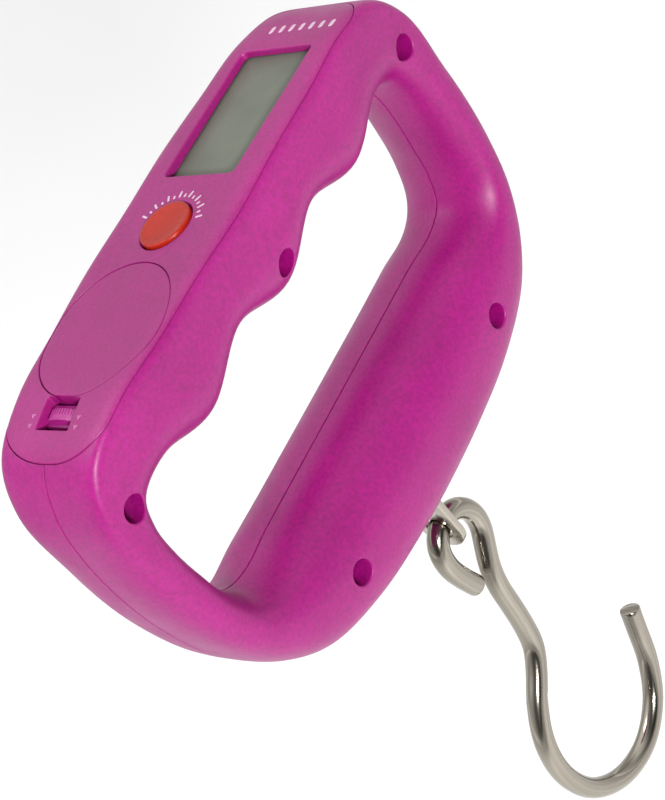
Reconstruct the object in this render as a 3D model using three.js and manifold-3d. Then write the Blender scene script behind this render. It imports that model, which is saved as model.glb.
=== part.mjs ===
// Digital luggage scale: a loop-shaped handle whose upper bar holds the display, the
// button and the battery, and whose lower bar holds the load cell that a wire hook hangs from.
//
// Millimetres. +X runs along the grip from the battery end to the display end, +Z points out
// of the display panel, and the hook hangs along -Z. Heights are counted from the crown of the
// panel (z = 0); the finished group is then lifted so that its origin is the centre of the grip.

import * as THREE from 'three';
import { ParametricGeometry } from 'three/addons/geometries/ParametricGeometry.js';
import { mergeVertices } from 'three/addons/utils/BufferGeometryUtils.js';
import Module from 'manifold-3d';

const wasm = await Module();
wasm.setup();

// ---------------------------------------------------------------- driving dimensions

const GRIP_CENTRE_DEPTH = 10;   // from the panel crown down to the middle of the hand grip
const WALL = 2.0;               // shells
const PANEL_THICKNESS = 2.4;
const GAP = 0.3;                // between pieces that meet
const COLUMN_DEPTH = 11.4;      // half of the body's depth in Y at its two ends
const GRIP_EXTRA = 3.8;         // how much more each side has at the middle of the grip
const BAR_EXTRA = 2.5;          // and at the middle of the lower bar
const SWELL_HALF = 53.5;        // half length over which the sides swell
const EDGE_POWER = 2.8;         // superellipse power of the outer edge all round the loop
const GRIP_EDGE_POWER = 10.5;   // and along the top of the grip, where the panel is nearly flat
const INNER_POWER = 2.4;        // superellipse power towards the hand hole
const FRONT_INNER_POWER = 1.9;  // the same on the -Y side, away from the grip
const COLUMN_INNER_POWER = 1.6; // and on the +Y side of the end columns
const COLUMN_START = [36, 50];  // distances from the middle over which a column's shape sets in
const RIDGE_PITCH = 27.3;       // finger ridges under the grip
const RIDGE_CREST = -22.6;      // underside of the grip at a ridge
const RIDGE_HOLLOW = -17.5;     // underside of the grip between ridges

const BAR_INNER = -51.1;        // upper side of the lower bar

// The body's outline as stations round one half of the loop, from the middle of the grip to the
// middle of the lower bar: a point of the outside and the point of the hand hole facing it.
const HALF_STATIONS = [
  { outer: [0, 0], inner: [0, RIDGE_CREST] },
  { outer: [RIDGE_PITCH / 2, 0], inner: [RIDGE_PITCH / 2, RIDGE_HOLLOW] },
  { outer: [RIDGE_PITCH, -0.2], inner: [RIDGE_PITCH, RIDGE_CREST] },
  { outer: [40, -0.6], inner: [38.6, -18.8] },
  { outer: [50.9, -3.7], inner: [46, -19.9] },
  { outer: [56.6, -11.4], inner: [48.3, -24.7] },
  { outer: [58.7, -21.4], inner: [48.5, -31] },
  { outer: [58.8, -33], inner: [47.8, -37.4] },
  { outer: [57.3, -44], inner: [46.8, -44] },
  { outer: [54.2, -54.9], inner: [44, -49.6] },
  { outer: [48.6, -64.6], inner: [38, -51.5] },
  { outer: [40.2, -72], inner: [29.9, BAR_INNER] },
  { outer: [27, -76.2], inner: [20, BAR_INNER] },
  { outer: [13.4, -77.8], inner: [10, BAR_INNER] },
  { outer: [0, -78.3], inner: [0, BAR_INNER] },
];

const LAND_Y = 15.0;            // flat land on each side of the grip
const PANEL_HALF_WIDTH = 14.5;
const PANEL_TAPER = 0.0011;     // how its half width falls with the square of x
const PANEL_SQUARE_LENGTH = 43; // half length before its ends begin to round
const PANEL_TIP = 51.4;         // half length over its rounded ends
const PANEL_END_POWER = 2.5;    // superellipse power of the ends
const PANEL_STEPS = 10;         // points on each quarter of its outline

const BUTTON = { x: -4.3, radius: 5.1, hole: 5.4, flange: 6.4, rim: 0.6 };
const WINDOW = { x0: 7.3, x1: 37.2, halfWidth: 8.6 };
const LCD = { x0: 5.4, x1: 39.2, halfWidth: 9.4, top: -1.9, glass: 1.0 };
const DOOR = { x: -26.36, halfLength: 14.0, halfWidth: 12.8, thickness: 1.5, sunk: 0.1 };
const LATCH_SLOT = { x0: -46.2, x1: -40.3, halfWidth: 4.0 };
const CELL = { radius: 10, height: 3.2, top: -2.7 };
const BOARD = { x0: -12.2, x1: 44.4, halfWidth: 10.2, top: -8.0, thickness: 1.2 };
const BOARD_SCREWS = [[-9.6, 8.4], [-9.6, -8.4], [42.2, 5.6], [42.2, -5.6]];

const SHELL_SCREWS = [
  { x: -51, z: -15.7 }, { x: 51, z: -15.7 }, { x: 0, z: -15.2 },
  { x: -29.1, z: -64.3 }, { x: 29.1, z: -64.3 },
];
const SCREW_RECESS = 2.4;       // radius of the hole that the screwdriver goes into
const SCREW_SEAT = -5.0;        // y of the shoulder under each shell screw's head
const BOSS = 3.5;               // radius of the front shell's screw bosses
const REAR_BOSS = 2.4;
const BEAM_BOSS = 3.2;          // radius of the bosses that the load cell is screwed to

const BEAM = { half: 21, halfWidth: 6, z0: -72.4, z1: -63.6, screwX: 17 };
const beamScrewZ = (BEAM.z0 + BEAM.z1) / 2;
const LUG = {
  x: -2.3, thickness: 1.5, halfWidth: 5, neck: 3, tipZ: -88.9, holeRadius: 2.9, holeZ: -88.4,
};
const WIRE = 2.2;               // radius of the hook's wire
const CABLE = 0.65;             // radius of the load cell's lead

// Centreline of the hook in its own plane, from the cut end that closes the eye, round the eye,
// down the shank and the offset bend, and round the bowl to the tip.
const HOOK_LINE = [
  [-5.0, -104.4], [-6.2, -100.2], [-7.0, -95.2], [-5.7, -90.5], [-2.2, -88.4], [2.2, -89.4], [5.0, -93.4],
  [4.8, -97.8], [2.5, -101.6], [0.2, -105.4], [-1.2, -109.9], [-1.9, -115.5], [-2.8, -121.4],
  [-4.4, -126.6], [-7.8, -130.5], [-12.5, -134.6], [-17.2, -141.4], [-18.9, -150.4], [-16.1, -160.5],
  [-8.6, -167.9], [0.8, -170.3], [9.3, -166.8], [14.9, -159.7], [17.6, -152.8], [19.5, -147.8],
];

// ---------------------------------------------------------------- materials

const finish = (color, roughness, metalness = 0) =>
  new THREE.MeshStandardMaterial({ color, roughness, metalness });

const material = {
  shell: finish(0xb8328f, 0.45),
  panel: finish(0xb2418f, 0.45),
  button: finish(0xd2412d, 0.35),
  lcdGlass: finish(0x828777, 0.15),
  whitePlastic: finish(0xe6e4dc, 0.6),
  zebra: finish(0xd98fb0, 0.7),
  board: finish(0x1f5c33, 0.5),
  epoxy: finish(0x101010, 0.35),
  blackPlastic: finish(0x1a1a1a, 0.5),
  steel: finish(0xb9b9b7, 0.3, 1),
  nickel: finish(0xaaa59c, 0.22, 1),
  alloy: finish(0xc3c5c7, 0.4, 1),
  gauge: finish(0xb5772f, 0.5),
  cable: finish(0x2a2a2c, 0.6),
};

// ---------------------------------------------------------------- solids and shapes

function toSolid(geometry) {
  const bare = geometry.clone();
  bare.deleteAttribute('normal');
  bare.deleteAttribute('uv');
  const merged = mergeVertices(bare, 1e-4);
  const vertProperties = new Float32Array(merged.attributes.position.array);
  const triVerts = new Uint32Array(merged.index.array);
  return new wasm.Manifold(new wasm.Mesh({ numProp: 3, vertProperties, triVerts }));
}

function toGeometry(solid) {
  const mesh = solid.getMesh();
  const geometry = new THREE.BufferGeometry();
  geometry.setAttribute('position', new THREE.BufferAttribute(new Float32Array(mesh.vertProperties), 3));
  geometry.setIndex(new THREE.BufferAttribute(new Uint32Array(mesh.triVerts), 1));
  return geometry;
}

const cut = (base, ...tools) => tools.reduce((solid, tool) => solid.subtract(tool), base);
const join = (base, ...others) => others.reduce((solid, other) => solid.add(other), base);

/** A box between two corners. */
function block(x0, x1, y0, y1, z0, z1) {
  const box = new THREE.BoxGeometry(x1 - x0, y1 - y0, z1 - z0);
  return box.translate((x0 + x1) / 2, (y0 + y1) / 2, (z0 + z1) / 2);
}

/** A cylinder along one axis, from one height to another, centred on the other two coordinates. */
function rod(axis, radius, from, to, centre, sides = 20) {
  const geometry = new THREE.CylinderGeometry(radius, radius, to - from, sides);
  geometry.translate(0, (from + to) / 2, 0);
  if (axis === 'x') return geometry.rotateZ(-Math.PI / 2).translate(0, centre[0], centre[1]);
  if (axis === 'z') return geometry.rotateX(Math.PI / 2).translate(centre[0], centre[1], 0);
  return geometry.translate(centre[0], 0, centre[1]);
}

/** A plan outline (x, y) raised from z0 to z1. */
function raised(shape, z0, z1, curveSegments = 20) {
  const settings = { depth: z1 - z0, bevelEnabled: false, curveSegments };
  return new THREE.ExtrudeGeometry(shape, settings).translate(0, 0, z0);
}

function ellipse(x, y, radiusX, radiusY) {
  const shape = new THREE.Shape();
  shape.absellipse(x, y, radiusX, radiusY, 0, Math.PI * 2);
  return shape;
}

/** A turned piece: an outline of [radius, height] pairs that starts and ends on the axis. */
function turned(outline, sides = 24) {
  return new THREE.LatheGeometry(outline.map(([r, h]) => new THREE.Vector2(r, h)), sides);
}

/** A pan-head screw along +Y: the head's crown is at y = 0 and the tip at y = length. */
function screw(headRadius, headHeight, shankRadius, length) {
  const drive = headRadius * 0.35;
  const outline = [
    [0, headHeight * 0.5], [drive, 0.06], [headRadius * 0.8, 0], [headRadius, headHeight * 0.5],
    [headRadius, headHeight], [shankRadius, headHeight], [shankRadius, length - shankRadius], [0, length],
  ];
  return turned(outline, 10);
}

// ---------------------------------------------------------------- body surface

const stations = [
  ...HALF_STATIONS,
  ...HALF_STATIONS.slice(1, -1).reverse().map(({ outer, inner }) => ({
    outer: [-outer[0], outer[1]],
    inner: [-inner[0], inner[1]],
  })),
];

function loopCurve(side) {
  const points = stations.map((station) => new THREE.Vector3(station[side][0], 0, station[side][1]));
  return new THREE.CatmullRomCurve3(points, true, 'catmullrom', 0.5);
}

const outerCurve = loopCurve('outer');
const innerCurve = loopCurve('inner');

/** How much of the grip's shape there is at a height: 1 on the grip, 0 on the lower bar. */
const gripShare = (z) => THREE.MathUtils.smoothstep(z, -45, -14);

/** Half the body's depth at a place in the loop. */
function halfThickness(x, z) {
  const middle = Math.max(0, 1 - Math.abs(x / SWELL_HALF) ** 2.5);
  return COLUMN_DEPTH + middle * THREE.MathUtils.lerp(BAR_EXTRA, GRIP_EXTRA, gripShare(z));
}

/** How much of the grip's square top there is at a height. */
const topShare = (z) => gripShare(z) * THREE.MathUtils.smoothstep(z, -30, -10);

/** Superellipse power of the outward half of a section whose middle is at a height. */
const edgePower = (z) => THREE.MathUtils.lerp(EDGE_POWER, GRIP_EDGE_POWER, topShare(z));

/** Superellipse power of the half that faces the hand hole, on the -Y or the +Y side. */
function innerPower(onPlusY, x, z) {
  if (!onPlusY) return THREE.MathUtils.lerp(FRONT_INNER_POWER, INNER_POWER, gripShare(z));
  const columnShare = THREE.MathUtils.smoothstep(Math.abs(x), ...COLUMN_START) * (1 - topShare(z));
  return THREE.MathUtils.lerp(INNER_POWER, COLUMN_INNER_POWER, columnShare);
}

/** Signed power, which turns a circle into a superellipse. Rounding noise near zero stays zero. */
function squircle(value, exponent) {
  return Math.abs(value) < 1e-9 ? 0 : Math.sign(value) * Math.abs(value) ** (2 / exponent);
}

/**
 * The loop's skin, drawn in by `inset`. Each section is a superellipse: rounder towards the hand
 * hole, most of all on the -Y side and in the columns, and squarer towards the outside of the
 * grip, where the panel is nearly flat.
 */
function loopSkin(inset, around, across) {
  const surface = (u, v, target) => {
    const outer = outerCurve.getPoint(u);
    const inner = innerCurve.getPoint(u);
    const middle = outer.clone().add(inner).multiplyScalar(0.5);
    const radial = outer.clone().sub(inner);
    const reach = radial.length() / 2 - inset;
    radial.normalize();
    const angle = v * Math.PI * 2;
    const outward = Math.cos(angle);
    const sideways = Math.sin(angle);
    const exponent = outward > 0 ? edgePower(middle.z) : innerPower(sideways > 0, middle.x, middle.z);
    const depth = halfThickness(middle.x, middle.z) - inset;
    target.copy(middle).addScaledVector(radial, reach * squircle(outward, exponent));
    target.y = depth * squircle(sideways, exponent);
  };
  const solid = toSolid(new ParametricGeometry(surface, around, across));
  return solid.volume() > 0 ? solid : toSolid(flipped(new ParametricGeometry(surface, around, across)));
}

/** The same surface with its faces pointing the other way. */
function flipped(geometry) {
  const index = geometry.index.array;
  for (let i = 0; i < index.length; i += 3) [index[i], index[i + 1]] = [index[i + 1], index[i]];
  return geometry;
}

/** Plan outline of the panel, drawn in by `inset`. */
function panelOutline(inset) {
  const half = [];
  for (let i = 0; i <= PANEL_STEPS; i += 1) {
    const x = (PANEL_TIP - inset) * Math.sin((i / PANEL_STEPS) * (Math.PI / 2));
    const past = Math.max(0, x - PANEL_SQUARE_LENGTH) / (PANEL_TIP - inset - PANEL_SQUARE_LENGTH);
    const full = PANEL_HALF_WIDTH - PANEL_TAPER * x * x - inset;
    const share = Math.max(0, 1 - past ** PANEL_END_POWER) ** (1 / PANEL_END_POWER);
    half.push(new THREE.Vector2(x, full * share));
  }
  const mirrored = (sx, sy) => half.map((p) => new THREE.Vector2(sx * p.x, sy * p.y));
  const ring = [
    ...mirrored(1, 1), ...mirrored(1, -1).reverse().slice(1, -1),
    ...mirrored(-1, -1), ...mirrored(-1, 1).reverse().slice(1, -1),
  ];
  return new THREE.Shape(ring.reverse());
}

const LOOP_STEPS = stations.length * 2.5;
const bodySolid = loopSkin(0, LOOP_STEPS, 16)
  .intersect(toSolid(block(-70, 70, -LAND_Y, LAND_Y, -90, 10)));

/** The body moved straight down, whose top follows the panel's crown at that depth. */
const lowered = (depth) => bodySolid.translate(0, 0, -depth);

const cavitySolid = loopSkin(WALL, stations.length * 2, 10);
const underPanel = loopSkin(PANEL_THICKNESS, stations.length * 2, 12);
const underPanelGap = loopSkin(PANEL_THICKNESS + GAP, stations.length * 2, 12);

// ---------------------------------------------------------------- shells

/** Room for the panel: everything above the ledge that the panel lies on. */
function panelRoom() {
  const prism = toSolid(raised(panelOutline(0), -11, 5));
  return prism.subtract(underPanelGap.intersect(toSolid(block(-70, 70, -20, 20, -30, 5))));
}

/** Slot in the bottom of the lower bar that the hook's lug comes out of. */
const lugSlot = toSolid(block(
  LUG.x - LUG.thickness / 2 - 0.8, LUG.x + LUG.thickness / 2 + 0.8,
  -LUG.halfWidth - 0.8, LUG.halfWidth + 0.8, -84, BEAM.z0 - 1,
));

/** A tube along Y that ties a screw's place to one side of the body. */
function boss({ x, z }, from, to, radius = BOSS) {
  return toSolid(rod('y', radius, from, to, [x, z])).intersect(bodySolid);
}

function shell(side) {
  const near = GAP / 2;
  const half = side < 0
    ? toSolid(block(-70, 70, -20, -near, -90, 10))
    : toSolid(block(-70, 70, near, 20, -90, 10));
  const walls = cut(bodySolid, cavitySolid, panelRoom(), lugSlot);
  const bosses = SHELL_SCREWS.map((place) => (
    side < 0 ? boss(place, -16, -near) : boss(place, near, 16, REAR_BOSS)));
  const cellBoss = (end) => (
    boss({ x: end * BEAM.screwX, z: beamScrewZ }, BEAM.halfWidth + GAP, 16, BEAM_BOSS)
  );
  const cellBosses = side < 0 ? [] : [-1, 1].map(cellBoss);
  const holes = SHELL_SCREWS.flatMap(({ x, z }) => (side < 0
    ? [rod('y', SCREW_RECESS, -20, SCREW_SEAT, [x, z]), rod('y', 1.4, -7, 1, [x, z], 12)]
    : [rod('y', 1.2, -1, 9, [x, z], 12)]));
  const pilots = side < 0
    ? []
    : [-1, 1].map((end) => rod('y', 1.1, 0, 11, [end * BEAM.screwX, beamScrewZ], 12));
  return cut(join(walls.intersect(half), ...bosses, ...cellBosses), ...[...holes, ...pilots].map(toSolid));
}

// ---------------------------------------------------------------- control panel

const boardBottom = BOARD.top - BOARD.thickness;
const wellFloor = CELL.top - CELL.height - 0.7;

/** The panel's outer skin, with the battery well and the board's posts moulded below it. */
function controlPanel() {
  const skin = cut(
    bodySolid.intersect(toSolid(raised(panelOutline(GAP), -9, 5))),
    underPanel.intersect(toSolid(block(-70, 70, -20, 20, -30, 5))),
  );
  const well = cut(
    toSolid(rod('z', CELL.radius + 1.9, wellFloor - 1.3, -1.6, [DOOR.x, 0], 28)),
    toSolid(rod('z', CELL.radius + 0.5, wellFloor, 5, [DOOR.x, 0], 28)),
  );
  const posts = BOARD_SCREWS.map(([x, y]) => toSolid(rod('z', 1.9, BOARD.top + 0.2, -1.4, [x, y], 12)));
  const postHoles = BOARD_SCREWS.map(([x, y]) => toSolid(rod('z', 0.9, BOARD.top - 1, -4.2, [x, y], 10)));
  const doorRoom = cut(
    toSolid(raised(ellipse(DOOR.x, 0, DOOR.halfLength + GAP, DOOR.halfWidth + GAP), -9, 5, 18)),
    lowered(DOOR.sunk + DOOR.thickness + GAP),
  );
  const openings = [
    raised(ellipse(BUTTON.x, 0, BUTTON.hole, BUTTON.hole), -9, 5, 12),
    block(WINDOW.x0, WINDOW.x1, -WINDOW.halfWidth, WINDOW.halfWidth, -9, 5),
    block(LATCH_SLOT.x0, LATCH_SLOT.x1, -LATCH_SLOT.halfWidth, LATCH_SLOT.halfWidth, -9, 5),
    block(LCD.x0 - 1.7, LCD.x1 + 1.7, -LCD.halfWidth - 1.5, LCD.halfWidth + 1.5, -9, LCD.top + 0.15),
    rod('z', CELL.radius + 0.5, wellFloor, 5, [DOOR.x, 0], 28),
  ];
  return cut(join(skin, well, ...posts), ...postHoles, doorRoom, ...openings.map(toSolid));
}

function powerButton() {
  const { radius, flange, rim } = BUTTON;
  const stem = 1.6;
  const outline = [
    [0, -5.3], [stem, -5.3], [stem, -3.9], [flange, -3.9], [flange, -3.0], [radius, -3.0],
    [radius, rim - 0.35], [radius - 0.4, rim], [radius - 1.1, rim - 0.05], [0, rim - 0.4],
  ];
  return turned(outline, 22).rotateX(Math.PI / 2).translate(BUTTON.x, 0, 0);
}

/** Oval door over the battery, crowned like the panel and cut straight where it meets the latch. */
function batteryDoor() {
  const column = toSolid(raised(ellipse(DOOR.x, 0, DOOR.halfLength, DOOR.halfWidth), -9, 5, 18));
  const flat = block(DOOR.x - DOOR.halfLength - 1, LATCH_SLOT.x1 + GAP, -8, 8, -9, 5);
  return cut(column.intersect(lowered(DOOR.sunk)), lowered(DOOR.sunk + DOOR.thickness), toSolid(flat));
}

/** Sliding latch: wings under the panel, a body that fills the slot, and a bar for the fingernail. */
function doorLatch() {
  const { x1, halfWidth } = LATCH_SLOT;
  const edge = x1 - GAP;
  const wings = block(edge - 5, edge, -halfWidth - 1.2, halfWidth + 1.2, -7.3, -6.1);
  const body = block(edge - 3.8, edge, -halfWidth + GAP, halfWidth - GAP, -6.3, -3.4);
  const bar = block(edge - 2.8, edge - 1.2, -2.8, 2.8, -3.5, -1.7);
  return join(...[wings, body, bar].map(toSolid));
}

// ---------------------------------------------------------------- display and electronics

function lcdFrame() {
  const outer = block(LCD.x0 - 1.4, LCD.x1 + 1.4, -LCD.halfWidth - 1.2, LCD.halfWidth + 1.2,
    BOARD.top + GAP, LCD.top);
  const inside = block(LCD.x0 - GAP, LCD.x1 + GAP, -LCD.halfWidth - GAP, LCD.halfWidth + GAP, -9, -1);
  return cut(toSolid(outer), toSolid(inside));
}

function lcdGlass(index) {
  const top = LCD.top - index * (LCD.glass + 0.1);
  const trim = index * 2.2;
  return block(LCD.x0, LCD.x1, -LCD.halfWidth + trim, LCD.halfWidth, top - LCD.glass, top);
}

function circuitBoard() {
  const { x0, x1, halfWidth, top, thickness } = BOARD;
  const plate = toSolid(block(x0, x1, -halfWidth, halfWidth, top - thickness, top));
  const holes = BOARD_SCREWS.map(([x, y]) => toSolid(rod('z', 1.1, -12, -6, [x, y], 10)));
  return cut(plate, ...holes);
}

function boardScrew([x, y]) {
  return screw(1.7, 1.1, 0.75, 5.2).rotateX(Math.PI / 2).translate(x, y, boardBottom - 1.25);
}

function controllerChip() {
  const dome = turned([[0, 0], [4.6, 0], [3.8, 0.8], [2.2, 1.3], [0, 1.5]], 18);
  return dome.rotateX(-Math.PI / 2).translate(22, 0, boardBottom - 0.15);
}

function tactSwitch() {
  const body = toSolid(block(BUTTON.x - 3, BUTTON.x + 3, -3, 3, BOARD.top + 0.15, -6.4));
  return cut(body, toSolid(rod('z', 1.95, BOARD.top + 0.4, -5, [BUTTON.x, 0], 16)));
}

const tactPlunger = () => rod('z', 1.7, -6.75, -5.5, [BUTTON.x, 0], 16);

function coinCell() {
  const { radius, height } = CELL;
  const outline = [
    [0, -height], [radius - 1.6, -height], [radius - 1.3, -height + 0.25], [radius - 0.3, -height + 0.25],
    [radius, -height + 0.6], [radius, -0.3], [radius - 0.3, 0], [0, 0],
  ];
  return turned(outline, 26).rotateX(Math.PI / 2).translate(DOOR.x, 0, CELL.top);
}

/** Leaf spring under the cell: a cross of sheet metal lying on the well's floor. */
function contactNegative() {
  const z = wellFloor;
  const leaf = block(DOOR.x - 6, DOOR.x + 6, -1.6, 1.6, z + 0.1, z + 0.35);
  const arm = block(DOOR.x - 1.6, DOOR.x + 1.6, -5, 5, z + 0.1, z + 0.35);
  return join(toSolid(leaf), toSolid(arm));
}

/** Sheet-metal contact that touches the rim of the cell from the side. */
function contactPositive() {
  const x = DOOR.x;
  return block(x - 1, x + 1, CELL.radius + 0.1, CELL.radius + 0.3, wellFloor + 0.3, CELL.top - 0.2);
}

/** Leads from the load cell, up the battery end of the loop, to the circuit board. */
function sensorCable() {
  const route = [
    [-10, 3.5, -61.4], [-18, 4.5, -58.6], [-30, 4, -56.8], [-40, 3, -57.2], [-48.4, 3, -52],
    [-53, 3, -43], [-54.2, 3, -34], [-54.2, 3, -27.5], [-53.3, 3, -23.3], [-51.2, 3, -20],
    [-48.3, 3, -17.9], [-45, 3, -15.5], [-41.2, 3, -14.2], [-36, 3, -12.6], [-26, 3, -11.4],
    [-17, 3, -11.2], [-10.6, 3, -10.4],
  ];
  const path = new THREE.CatmullRomCurve3(route.map((p) => new THREE.Vector3(...p)));
  const section = new THREE.Shape();
  section.absarc(0, 0, CABLE, 0, Math.PI * 2);
  const settings = { steps: 44, extrudePath: path, curveSegments: 4, bevelEnabled: false };
  return new THREE.ExtrudeGeometry(section, settings);
}

// ---------------------------------------------------------------- load cell, lug and hook

/** Beam held at both ends, with the usual two joined bores at its middle and a slot for the lug. */
function loadCell() {
  const { half, halfWidth, z0, z1, screwX } = BEAM;
  const bar = toSolid(block(-half, half, -halfWidth, halfWidth, z0, z1));
  const bores = [-8.5, 8.5].map((x) => rod('y', 2.6, -10, 10, [x, beamScrewZ], 16));
  const screwHoles = [-1, 1].map((end) => rod('y', 1.7, -10, 10, [end * screwX, beamScrewZ], 12));
  const slot = block(LUG.x - LUG.thickness / 2 - GAP, LUG.x + LUG.thickness / 2 + GAP,
    -LUG.neck - GAP, LUG.neck + GAP, z0 - 1, z1 + 1);
  return cut(bar, ...[...bores, ...screwHoles, slot].map(toSolid));
}

const strainGauge = (side) => {
  const z = side > 0 ? BEAM.z1 + 0.12 : BEAM.z0 - 0.37;
  return block(-11.5, -5.5, -2, 2, z, z + 0.25);
};

/** Flat steel lug: a narrow neck through the beam, and a round-ended plate with the hook's hole. */
function hookLug() {
  const { x, thickness, halfWidth, neck, tipZ, holeRadius, holeZ } = LUG;
  const outline = new THREE.Shape();
  outline.moveTo(neck, BEAM.z1 + 5.4);
  outline.lineTo(-neck, BEAM.z1 + 5.4);
  outline.lineTo(-neck, BEAM.z0 - 1.2);
  outline.lineTo(-halfWidth, BEAM.z0 - 2.2);
  outline.lineTo(-halfWidth, tipZ);
  outline.absarc(0, tipZ, halfWidth, Math.PI, Math.PI * 2);
  outline.lineTo(halfWidth, BEAM.z0 - 2.2);
  outline.lineTo(neck, BEAM.z0 - 1.2);
  const hookHole = new THREE.Path();
  hookHole.absarc(0, holeZ, holeRadius, 0, Math.PI * 2, true);
  const pinHole = new THREE.Path();
  pinHole.absarc(0, BEAM.z1 + 2.1, 1.75, 0, Math.PI * 2, true);
  outline.holes.push(hookHole, pinHole);
  const settings = { depth: thickness, bevelEnabled: false, curveSegments: 14 };
  const plate = new THREE.ExtrudeGeometry(outline, settings);
  plate.rotateX(Math.PI / 2).rotateZ(Math.PI / 2);
  return plate.translate(x - thickness / 2, 0, 0);
}

const lugPin = () => rod('x', 1.45, LUG.x - 5, LUG.x + 5, [0, BEAM.z1 + 2.1], 16);

const cellScrew = (end) => screw(2.6, 1.6, 0.95, 16)
  .translate(end * BEAM.screwX, -BEAM.halfWidth - 1.75, beamScrewZ);

const shellScrew = ({ x, z }) => screw(2.1, 1.6, 1.05, 13).translate(x, SCREW_SEAT - 1.75, z);

/** Round wire swept along the hook's centreline, with flat cut ends. */
function hookWire() {
  const path = new THREE.CatmullRomCurve3(HOOK_LINE.map(([x, z]) => new THREE.Vector3(x, 0, z)));
  const section = new THREE.Shape();
  section.absarc(0, 0, WIRE, 0, Math.PI * 2);
  const settings = { steps: 62, extrudePath: path, curveSegments: 5, bevelEnabled: false };
  return new THREE.ExtrudeGeometry(section, settings);
}

// ---------------------------------------------------------------- assembly

const scale = new THREE.Group();
scale.position.z = GRIP_CENTRE_DEPTH;

function add(name, source, surface) {
  const geometry = source.isBufferGeometry ? source : toGeometry(source);
  const mesh = new THREE.Mesh(geometry, surface);
  mesh.name = name;
  scale.add(mesh);
}

add('front_shell', shell(-1), material.shell);
add('rear_shell', shell(1), material.shell);
add('control_panel', controlPanel(), material.panel);
add('power_button', powerButton(), material.button);
add('battery_door', batteryDoor(), material.panel);
add('battery_door_latch', doorLatch(), material.panel);
add('lcd_front_glass', lcdGlass(0), material.lcdGlass);
add('lcd_rear_glass', lcdGlass(1), material.lcdGlass);
add('lcd_frame', lcdFrame(), material.whitePlastic);
add('circuit_board', circuitBoard(), material.board);
add('controller_chip', controllerChip(), material.epoxy);
add('tact_switch', tactSwitch(), material.blackPlastic);
add('tact_plunger', tactPlunger(), material.blackPlastic);
add('coin_cell', coinCell(), material.steel);
add('contact_negative', contactNegative(), material.steel);
add('contact_positive', contactPositive(), material.steel);
add('sensor_cable', sensorCable(), material.cable);
add('load_cell', loadCell(), material.alloy);
add('strain_gauge_top', strainGauge(1), material.gauge);
add('strain_gauge_bottom', strainGauge(-1), material.gauge);
add('hook_lug', hookLug(), material.nickel);
add('lug_pin', lugPin(), material.steel);
add('hook', hookWire(), material.nickel);

// The elastic strip joins the glass's contact ledge to the board.
add('zebra_strip', block(LCD.x0 + 1, LCD.x1 - 1, -LCD.halfWidth + 0.1, -LCD.halfWidth + 2.0,
  BOARD.top + 0.15, LCD.top - LCD.glass - 0.15), material.zebra);

SHELL_SCREWS.forEach((place, i) => add(`shell_screw_${i + 1}`, shellScrew(place), material.steel));
BOARD_SCREWS.forEach((place, i) => add(`board_screw_${i + 1}`, boardScrew(place), material.steel));
[-1, 1].forEach((end, i) => add(`load_cell_screw_${i + 1}`, cellScrew(end), material.steel));

const object = new THREE.Group();
object.add(scale);

export default object;
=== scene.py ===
import math

import bmesh
import bpy
import numpy as np
from mathutils import Matrix, Vector
from mathutils.bvhtree import BVHTree


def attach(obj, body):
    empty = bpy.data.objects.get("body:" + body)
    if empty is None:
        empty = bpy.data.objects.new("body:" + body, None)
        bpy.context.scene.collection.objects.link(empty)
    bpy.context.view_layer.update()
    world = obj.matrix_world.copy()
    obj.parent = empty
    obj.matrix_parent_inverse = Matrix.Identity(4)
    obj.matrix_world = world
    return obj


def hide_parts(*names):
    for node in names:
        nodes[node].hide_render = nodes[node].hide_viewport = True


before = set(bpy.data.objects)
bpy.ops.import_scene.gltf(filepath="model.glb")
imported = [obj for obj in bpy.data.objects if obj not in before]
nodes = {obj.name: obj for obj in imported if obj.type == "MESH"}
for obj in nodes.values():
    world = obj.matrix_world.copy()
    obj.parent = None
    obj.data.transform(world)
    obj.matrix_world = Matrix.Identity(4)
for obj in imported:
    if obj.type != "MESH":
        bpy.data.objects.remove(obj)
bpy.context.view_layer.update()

# Digital luggage scale. Lengths here are in millimetres, with z counted from the crown of the
# panel as in the CAD source, and become metres in the CAD frame when a mesh is made.
MM = 0.001
CROWN_Z = 10.0                  # the panel's crown above the frame's origin

# ---------------------------------------------------------------- dimensions, most as in the CAD

GAP = 0.3                       # clearance between neighbouring pieces inside
SEAM = 0.14                     # width of the fine seams round the panel and the door
PARTING = 0.28                  # width of the seam between the two shells
SEAM_ROUND = 0.14               # rounding of the edges where the two shells meet
WALL = 2.0
PANEL_THICKNESS = 2.4
COLUMN_DEPTH = 11.4             # half depth in y of the end columns
GRIP_EXTRA = 3.6                # how much deeper the grip is in its middle
BAR_EXTRA = 2.5                 # and the lower bar
SWELL_HALF = 53.5               # distance from the middle at which both additions end
EDGE_POWER = 2.8                # the superellipse of a section's outer half
GRIP_EDGE_POWER = 10.5          # and on top of the grip, which is squarer
INNER_POWER = 2.4               # of its half beside the hand hole
FRONT_INNER_POWER = 1.9         # on the -Y side, away from the grip
COLUMN_INNER_POWER = 1.6        # on the +Y side of the end columns
COLUMN_START = (36, 50)         # distance from the middle over which a bar becomes a column
RIDGE_PITCH = 27.3
RIDGE_CREST = -22.6
RIDGE_HOLLOW = -17.5
BAR_INNER = -51.1
BAR_OUTER = -78.3
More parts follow.
